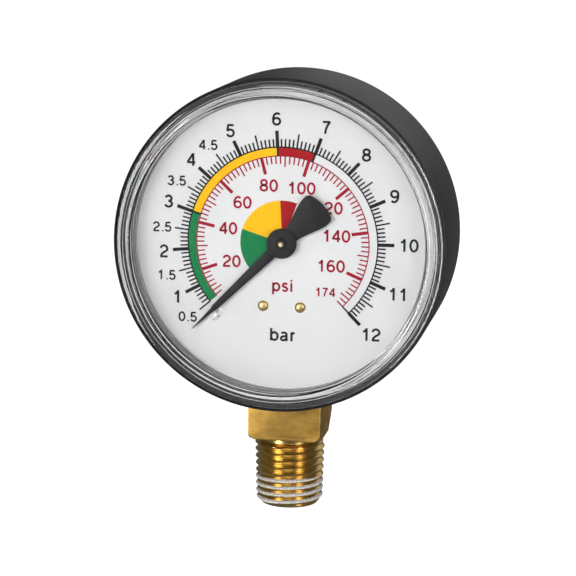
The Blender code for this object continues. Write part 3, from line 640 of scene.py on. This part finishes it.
def tick(inner, outer, degrees, width, back, front):
    """One printed graduation line, pointing at the dial's centre."""
    bm = block((inner, -front, -width / 2), (outer, -back, width / 2))
    bmesh.ops.rotate(bm, verts=bm.verts, cent=(0, 0, 0),
                     matrix=Matrix.Rotation(math.radians(-degrees), 3, "Y"))
    bmesh.ops.translate(bm, verts=bm.verts, vec=(0, 0, CENTRE_HEIGHT * MM))
    return bm


class GAUGE_OT_dial(bpy.types.Operator):
    """Builds the white dial plate and the two brass posts that hold it."""
    bl_idname = "gauge.dial"
    bl_label = "Dial plate"

    def execute(self, context):
        face, back = DIAL_FACE, DIAL_FACE - 0.5
        edge = [(0, face), (29.12, face), (29.2, face - 0.08), (29.2, back), (0, back)]
        dial = turn(edge, context.scene.gauge_sizes.case_steps)
        dial = carve(dial, drum(1.3, 9, 12, 48))
        for place in DIAL_RIVETS.values():
            dial = carve(dial, drum(1.07, 9, 12, 40, centre=place))
        add_piece("dial_plate", dial, white_enamel(context.scene.gauge_colours.dial),
                  replaces=["dial"])
        brass = worked_metal("riveted_brass", linear("F3D394"), (1, 1, 1), 1400, (0.3, 0.45))
        post = [
            (0, face + 0.32), (0.3, face + 0.31), (0.6, face + 0.26), (0.8, face + 0.12),
            (0.85, face - 0.05), (0.85, back - 0.1), (1.5, back - 0.1), (1.5, 8.9), (0.6, 8.9),
            (0.6, 8.05), (0, 8.05),
        ]
        for side, place in DIAL_RIVETS.items():
            add_piece(f"dial_rivet_{side}_post", turn(post, 40, centre=place), brass,
                      replaces=[f"dial_rivet_{side}"])
        return {"FINISHED"}


class GAUGE_OT_scales(bpy.types.Operator):
    """Prints the two scales and the coloured zones on the dial."""
    bl_idname = "gauge.scales"
    bl_label = "Scales and zones"

    def execute(self, context):
        sizes, colours = context.scene.gauge_sizes, context.scene.gauge_colours
        ink, inside, outside = sizes.ink / MM, sizes.band_inner / MM, sizes.band_outer / MM
        low, first, last = DIAL_FACE, bar_angle(FIRST_BAR), bar_angle(LAST_BAR)
        starts = (FIRST_BAR, *ZONE_ENDS)
        for name, start, end in zip(("green", "yellow", "red"), starts, ZONE_ENDS):
            start, end = bar_angle(start), bar_angle(end)
            band = arc_band(inside, outside, start, end, low, low + ink)
            sector = arc_band(1.6, sizes.zone_radius / MM, start, end, low, low + ink)
            ink_colour = getattr(colours, name)
            add_piece(f"zone_{name}", join(band, sector), printed_ink(f"{name}_dial_ink", ink_colour))

        over = low + 1.4 * ink
        black = [arc_band(*BAR_RING, first, last, low, over)]
        for step in range(5, 121):
            end = 21.6 if step % 10 == 0 else 21.2 if step % 5 == 0 else 20.0
            width = 0.66 if step % 10 == 0 else 0.31
            black.append(tick(18.4, end, bar_angle(step / 10), width, low, over))
        for bar in ZONE_ENDS:
            black.append(tick(PSI_RING[0], 18.5, bar_angle(bar), 0.4, low, over))
        black.append(tick(PSI_RING[0], 18.5, last, 0.3, low, over))
        add_piece("bar_scale", join(*black), printed_ink("black_dial_ink", colours.bar_ink))

        red = [arc_band(*PSI_RING, first, last, low, over - 0.3 * ink)]
        for psi in range(8, 175, 2):
            end = 13.55 if psi % 20 == 0 else 14.65 if psi % 10 == 0 else 15.25
            width = 0.62 if psi % 20 == 0 else 0.27
            red.append(tick(end, 16.76, bar_angle(psi / PSI_PER_BAR), width, low, over - 0.3 * ink))
        add_piece("psi_scale", join(*red), printed_ink("crimson_dial_ink", colours.psi_ink))
        return {"FINISHED"}


def bend(x, y, rx, ry, start, end, steps=14):
    """Points along part of an ellipse, angles in degrees."""
    return [(x + rx * math.cos(math.radians(start + (end - start) * i / steps)),
             y + ry * math.sin(math.radians(start + (end - start) * i / steps))) for i in range(steps + 1)]


# Strokes of the plain numerals and letters, on a line of height 1; each ends with the width it takes up.
GLYPHS = {
    "0": ([bend(0.33, 0.5, 0.265, 0.44, 90, 450, 36)], 0.78),
    "1": ([[(0.4, 0), (0.4, 1)],
           [(0.13, 0.735), (0.24, 0.745), (0.32, 0.8), (0.365, 0.88), (0.38, 0.97)]], 0.78),
    "2": ([bend(0.325, 0.68, 0.255, 0.26, 172, -22, 16)
           + [(0.45, 0.49), (0.26, 0.36), (0.13, 0.22), (0.08, 0.065)], [(0.02, 0.06), (0.6, 0.06)]], 0.78),
    "3": ([bend(0.32, 0.73, 0.225, 0.21, 165, -75, 16) + [(0.3, 0.525)],
           [(0.3, 0.525)] + bend(0.315, 0.29, 0.26, 0.23, 78, -168, 18)], 0.78),
    "4": ([[(0.48, 0), (0.48, 1)], [(0.46, 0.95), (0.05, 0.29)], [(0.02, 0.28), (0.65, 0.28)]], 0.78),
    "5": ([[(0.57, 0.94), (0.15, 0.94)], [(0.165, 0.98), (0.095, 0.47)],
           bend(0.325, 0.325, 0.26, 0.265, 146, -160, 20)], 0.78),
    "6": ([bend(0.335, 0.315, 0.26, 0.255, 90, 450, 30),
           bend(0.37, 0.47, 0.3, 0.47, 188, 52, 18)], 0.78),
    "7": ([[(0.05, 0.935), (0.62, 0.935)],
           [(0.6, 0.95), (0.42, 0.68), (0.3, 0.38), (0.24, 0)]], 0.78),
    "8": ([bend(0.33, 0.735, 0.225, 0.205, 90, 450, 28),
           bend(0.33, 0.285, 0.265, 0.225, 90, 450, 30)], 0.78),
    "9": ([bend(0.325, 0.685, 0.26, 0.255, 90, 450, 30),
           bend(0.29, 0.53, 0.3, 0.47, 8, -128, 18)], 0.78),
    ".": ([[(0.19, 0), (0.19, 0.13)]], 0.39),
    "b": ([[(0.09, 0), (0.09, 1)], bend(0.34, 0.365, 0.25, 0.31, 90, 450, 28)], 0.78),
    "a": ([bend(0.29, 0.53, 0.2, 0.15, 155, 0, 12) + [(0.49, 0.2), (0.51, 0.08), (0.58, 0.05)],
           [(0.49, 0.43), (0.38, 0.39), (0.2, 0.36)] + bend(0.22, 0.205, 0.15, 0.15, 100, 275, 12)
           + [(0.36, 0.09), (0.49, 0.22)]], 0.78),
    "r": ([[(0.09, 0), (0.09, 0.74)], bend(0.33, 0.42, 0.24, 0.26, 170, 88, 8)], 0.47),
    "p": ([[(0.09, -0.28), (0.09, 0.74)], bend(0.34, 0.365, 0.25, 0.31, 90, 450, 28)], 0.78),
    "s": ([bend(0.27, 0.53, 0.17, 0.15, 20, 235, 14) + [(0.3, 0.375)]
           + bend(0.27, 0.205, 0.19, 0.15, 60, -160, 14)], 0.7),
    "i": ([[(0.08, 0), (0.08, 0.74)], [(0.08, 0.86), (0.08, 1)]], 0.31),
}


def pen_stroke(bm, path, height, start, nib, back):
    """Draws one stroke by extruding the pen's edge from point to point, square at its ends."""
    points = [Vector((start.x + x * height * NUMERAL_SPREAD, start.y + y * height)) for x, y in path]
    closed = (points[0] - points[-1]).length < 0.001 * height
    edge = None
    for i, point in enumerate(points):
        before = points[i - 1] if i else (points[-2] if closed else point * 2 - points[1])
        after = points[i + 1] if i + 1 < len(points) else (points[1] if closed else point * 2 - points[-2])
        first, second = (point - before).normalized(), (after - point).normalized()
        along = (first + second).normalized()
        across = Vector((-along.y, along.x)) * nib / 2 / max(0.5, along.dot(first))
        ends = [on_dial(*(point - across), back), on_dial(*(point + across), back)]
        if edge is None:
            edge = bm.edges.new([bm.verts.new(p) for p in ends])
        else:
            made = bmesh.ops.extrude_edge_only(bm, edges=[edge])["geom"]
            edge = next(g for g in made if isinstance(g, bmesh.types.BMEdge))
            for vert in edge.verts:
                on_first_side = (vert.co - last[0]).length < (vert.co - last[1]).length
                vert.co = ends[0] if on_first_side else ends[1]
        last = ends


def print_words(words, back, front):
    """Prints upright words, each with its centre and height in millimetres, as thin raised ink."""
    bm = bmesh.new()
    for text, x, z, height in words:
        wide = (sum(GLYPHS[c][1] for c in text) - 0.12) * NUMERAL_SPREAD
        corner = Vector((x - wide * height / 2, z - height / 2))
        for character in text:
            strokes, advance = GLYPHS[character]
            for path in strokes:
                pen_stroke(bm, path, height, corner, height * NIB, back)
            corner.x += advance * height * NUMERAL_SPREAD
    bmesh.ops.remove_doubles(bm, verts=bm.verts, dist=MERGE)
    raised = bmesh.ops.extrude_face_region(bm, geom=bm.faces[:])["geom"]
    raised = [v for v in raised if isinstance(v, bmesh.types.BMVert)]
    bmesh.ops.translate(bm, verts=raised, vec=(0, (back - front) * MM, 0))
    bmesh.ops.recalc_face_normals(bm, faces=bm.faces)
    return bm


class GAUGE_OT_numbers(bpy.types.Operator):
    """Prints the numerals of both scales and the names of their units."""
    bl_idname = "gauge.numbers"
    bl_label = "Numerals"

    def execute(self, context):
        sizes, colours = context.scene.gauge_sizes, context.scene.gauge_colours
        tall, short = sizes.bar_numeral / MM, sizes.bar_numeral / MM * SHORT_NUMERAL
        low, high = DIAL_FACE, DIAL_FACE + sizes.ink / MM
        outer = [
            ("6", -1.41, 23.78, tall), ("5", -10.33, 21.24, tall), ("4.5", -14.63, 18.39, short),
            ("4", -17.94, 15.46, tall), ("3.5", -20.77, 11.29, short), ("3", -22.33, 7.23, tall),
            ("2.5", -23.6, 2.22, short), ("2", -23.23, -2.53, tall), ("1.5", -22.74, -7.18, short),
            ("1", -20.6, -11.38, tall), ("0.5", -18.48, -15.24, short), ("7", 8.18, 22.44, tall),
            ("8", 15.94, 17.5, tall), ("9", 21.46, 9.81, tall), ("10", 24.34, 0.53, tall),
            ("11", 22.48, -8.97, tall), ("12", 17.43, -17.04, tall), ("bar", 0.24, -17.91, tall),
        ]
        psi = sizes.psi_numeral / MM
        inner = [
            ("20", -9.88, -3.92, psi), ("40", -10.6, 2.45, psi), ("60", -7.85, 7.56, psi),
            ("80", -2.76, 11.01, psi), ("100", 3.56, 10.71, psi), ("120", 8.86, 7.12, psi),
            ("140", 10.41, 1.78, psi), ("160", 9.47, -4.07, psi), ("174", 8.45, -9.18, psi * 0.73),
            ("psi", 0.11, -8.27, psi),
        ]
        black = printed_ink("black_numeral_ink", colours.bar_ink)
        crimson = printed_ink("crimson_numeral_ink", colours.psi_ink)
        add_piece("bar_numerals", print_words(outer, low, high), black)
        add_piece("psi_numerals", print_words(inner, low, high), crimson)
        return {"FINISHED"}


# ---------------------------------------------------------------- pointer and movement

def pointer_side():
    """One side of the pointer, from its tip to the middle of its tail."""
    side = [(24.8, 0.0), (24.5, 0.08), (19.0, 0.42), (18.5, 0.6), (2.4, 1.1), (1.2, 1.55), (-2.0, 1.55)]
    back = -9.5
    for i in range(1, 13):
        share = i / 13
        ease = share * share * (3 - 2 * share)
        side.append((-2.0 + (back + 2.0) * share, 1.55 + 1.85 * ease))
    side += [(back + 1.25 * math.cos(math.radians(a)), 2.15 + 1.25 * math.sin(math.radians(a)))
             for a in range(90, 171, 10)]
    return side + [(-11.0, 1.2), (-11.1, 0.0)]


class GAUGE_OT_pointer(bpy.types.Operator):
    """Builds the pointer with its counterweight tail and hub."""
    bl_idname = "gauge.pointer"
    bl_label = "Pointer"

    def execute(self, context):
        side = pointer_side()
        outline = [Vector(p) for p in side] + [Vector((x, -y)) for x, y in side[-2:0:-1]]
        outline = [Matrix.Rotation(math.radians(POINTER_REST), 2) @ p for p in outline]
        blade = soften(plate(outline, *POINTER_LAYER), 0.07, 2, 60)
        hub = turn([
            (0.45, 12.35), (0.85, 12.4), (1.02, 12.3), (1.1, 12.1), (1.12, 11.98), (2.55, 11.95),
            (2.8, 11.88), (2.9, 11.7), (2.9, 11.15), (2.8, 11.1), (0.6, 11.1), (0.45, 11.3),
        ], 80)
        black = matt_lacquer(context.scene.gauge_colours.pointer)
        add_piece("pointer_blade", join(blade, hub), black, body="pointer_shaft", replaces=["pointer"])
        return {"FINISHED"}


class GAUGE_OT_tube(bpy.types.Operator):
    """Builds the Bourdon tube as one fixed curved piece, from its root round to its tip."""
    bl_idname = "gauge.tube"
    bl_label = "Bourdon tube"

    def execute(self, context):
        bm = bmesh.new()
        centre = polar(TUBE_RADIUS, TUBE_ROOT)
        radial, section = centre.normalized(), []
        for i in range(28):
            across, through = polar(1, 360 * i / 28)
            width = 3.3 * math.copysign(abs(across) ** 0.6, across)
            thick = 1.3 * math.copysign(abs(through) ** 0.8, through)
            spot = centre + radial * thick
            section.append(bm.verts.new(on_dial(spot.x, spot.y, -0.9 + width)))
        face = bm.faces.new(section)
        bmesh.ops.spin(bm, geom=[face], cent=on_dial(0, 0, 0), axis=(0, 1, 0), dvec=(0, 0, 0),
                       angle=math.radians(TUBE_SWEEP), steps=110, use_merge=False, use_duplicate=False)
        close_up(bm)
        bronze = worked_metal("phosphor_bronze", linear("B5793F"), (1, 1, 1), 900, (0.25, 0.38), 0.75)
        tube = add_piece("bourdon_tube_bend", bm, bronze, body=None, replaces=["bourdon_tube"])
        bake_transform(tube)
        return {"FINISHED"}


class GAUGE_OT_movement(bpy.types.Operator):
    """Gives the movement's carried-over pieces their metals."""
    bl_idname = "gauge.movement"
    bl_label = "Movement finishes"

    def execute(self, context):
        # Sheet shows level streaks, rods show fine lines along them, and the lapped arbor is plain.
        punched = worked_metal("punched_brass_sheet", linear("CFA044"), (0.3, 1, 3), 1200, (0.26, 0.4), 0.8)
        cut = worked_metal("turned_brass_parts", linear("D6A850"), (2, 0.3, 2), 1500, (0.22, 0.34), 0.8)
        steel = worked_metal("turned_steel", linear("9FA1A5"), (2, 0.4, 2), 1500, (0.2, 0.32), 0.8)
        tip = worked_metal("lapped_brass_arbor", linear("F6E0B0"), (1, 1, 1), 1500, (0.45, 0.6), 0.9)
        spring = worked_metal("hairspring_bronze", linear("C08A4A"), (1, 3, 1), 1800, (0.2, 0.3), 0.8)
        finishes = {
            "movement_rear_plate": punched, "movement_front_plate": punched,
            "sector_gear": punched, "link": punched,
            "tube_end_piece": cut, "pillar_left": cut, "pillar_right": cut, "pillar_bottom": cut,
            "hairspring_collet": cut, "hairspring_stud": cut, "restrictor_screw": cut,
            "pinion_arbor": tip, "hairspring": spring,
        }
        for name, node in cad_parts.items():
            if node.hide_render:
                continue
            metal = finishes.get(name, steel)
            node.data.materials.clear()
            node.data.materials.append(metal)
        return {"FINISHED"}


# ---------------------------------------------------------------- floor, light and camera

def soft_light(name, place, aim, size, power):
    data = bpy.data.lights.new(name, "AREA")
    data.shape, data.size, data.size_y, data.energy = "RECTANGLE", size[0], size[1], power
    lamp = bpy.data.objects.new(name, data)
    bpy.context.scene.collection.objects.link(lamp)
    lamp.location = place
    lamp.rotation_euler = (Vector(aim) - Vector(place)).to_track_quat("-Z", "Y").to_euler()


class GAUGE_OT_stage(bpy.types.Operator):
    """Lays the pale floor and sets the studio lights and the camera."""
    bl_idname = "gauge.stage"
    bl_label = "Stage"

    def execute(self, context):
        bm = bmesh.new()
        bmesh.ops.create_grid(bm, x_segments=2, y_segments=2, size=6)
        bmesh.ops.translate(bm, verts=bm.verts, vec=(0, 0, -0.06))
        material, tree = blank_material("pale_floor")
        shader = add_node(tree, "ShaderNodeBsdfPrincipled", inputs={
            "Base Color": (0.9, 0.9, 0.9, 1), "Roughness": 0.9, "Emission Color": (1, 1, 1, 1),
            "Emission Strength": 0.92})
        floor = add_piece("floor", bm, finish(material, tree, shader.outputs["BSDF"]), body=None)
        floor.visible_glossy = floor.visible_transmission = False

        aim = (0, 0, 0.045)
        soft_light("key_softbox", (0.02, -0.82, 0.46), aim, (0.5, 0.4), 1.3)
        soft_light("right_strip", (0.5, -0.48, 0.16), aim, (0.16, 0.6), 1.8)
        soft_light("left_softbox", (-0.49, -0.72, -0.02), aim, (0.3, 0.5), 4.6)
        soft_light("back_softbox", (0.25, 0.8, 0.5), aim, (0.9, 0.6), 0.8)
        world = bpy.data.worlds.new("studio_walls")
        world.use_nodes = True
        sky = world.node_tree.nodes["Background"]
        sky.inputs["Color"].default_value = (1, 1, 1, 1)
        seen = add_node(world.node_tree, "ShaderNodeLightPath").outputs["Is Camera Ray"]
        world.node_tree.links.new(grey_range(world.node_tree, seen, 0.15, 1.0), sky.inputs["Strength"])
        context.scene.world = world
        context.scene.view_settings.view_transform = "Standard"

        lens = bpy.data.cameras.new("gauge_camera")
        lens.sensor_width, lens.lens = 36, 140.24
        lens.shift_x, lens.shift_y = 0.00528, -0.01123
        lens.clip_start, lens.clip_end = 0.01, 50
        camera = bpy.data.objects.new("gauge_camera", lens)
        context.scene.collection.objects.link(camera)
        round_about, above, roll = math.radians(10.28), math.radians(10.36), math.radians(0.75)
        target, distance = Vector((0, -0.008, 0.0455)), 0.4295
        back = Vector((math.sin(round_about) * math.cos(above), -math.cos(round_about) * math.cos(above),
                       math.sin(above)))
        side = Vector((math.cos(round_about), math.sin(round_about), 0))
        up = back.cross(side)
        right = side * math.cos(roll) + up * math.sin(roll)
        top = up * math.cos(roll) - side * math.sin(roll)
        facing = Matrix((right, top, back)).transposed().to_4x4()
        camera.matrix_world = Matrix.Translation(target + back * distance) @ facing
        context.scene.camera = camera
        return {"FINISHED"}


OPERATORS = (
    GAUGE_OT_case, GAUGE_OT_window, GAUGE_OT_back, GAUGE_OT_stem, GAUGE_OT_dial, GAUGE_OT_scales,
    GAUGE_OT_numbers, GAUGE_OT_pointer, GAUGE_OT_tube, GAUGE_OT_movement, GAUGE_OT_stage,
)


class GAUGE_PT_panel(bpy.types.Panel):
    """Lists the gauge's pieces in the order in which they are built."""
    bl_idname = "GAUGE_PT_panel"
    bl_label = "Pressure Gauge"
    bl_space_type = "VIEW_3D"
    bl_region_type = "UI"
    bl_category = "Gauge"

    def draw(self, context):
        for group in (context.scene.gauge_sizes, context.scene.gauge_colours):
            for key in group.bl_rna.properties.keys():
                if key not in ("rna_type", "name"):
                    self.layout.prop(group, key)
        for operator in OPERATORS:
            self.layout.operator(operator.bl_idname)


CLASSES = (GaugeSizes, GaugeColours, *OPERATORS, GAUGE_PT_panel)


def register():
    for cls in CLASSES:
        bpy.utils.register_class(cls)
    bpy.types.Scene.gauge_sizes = PointerProperty(type=GaugeSizes)
    bpy.types.Scene.gauge_colours = PointerProperty(type=GaugeColours)


def unregister():
    del bpy.types.Scene.gauge_colours
    del bpy.types.Scene.gauge_sizes
    for cls in reversed(CLASSES):
        bpy.utils.unregister_class(cls)


def main():
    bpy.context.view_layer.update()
    register()
    for operator in OPERATORS:
        family, name = operator.bl_idname.split(".")
        getattr(getattr(bpy.ops, family), name)()


if __name__ == "__main__":
    main()
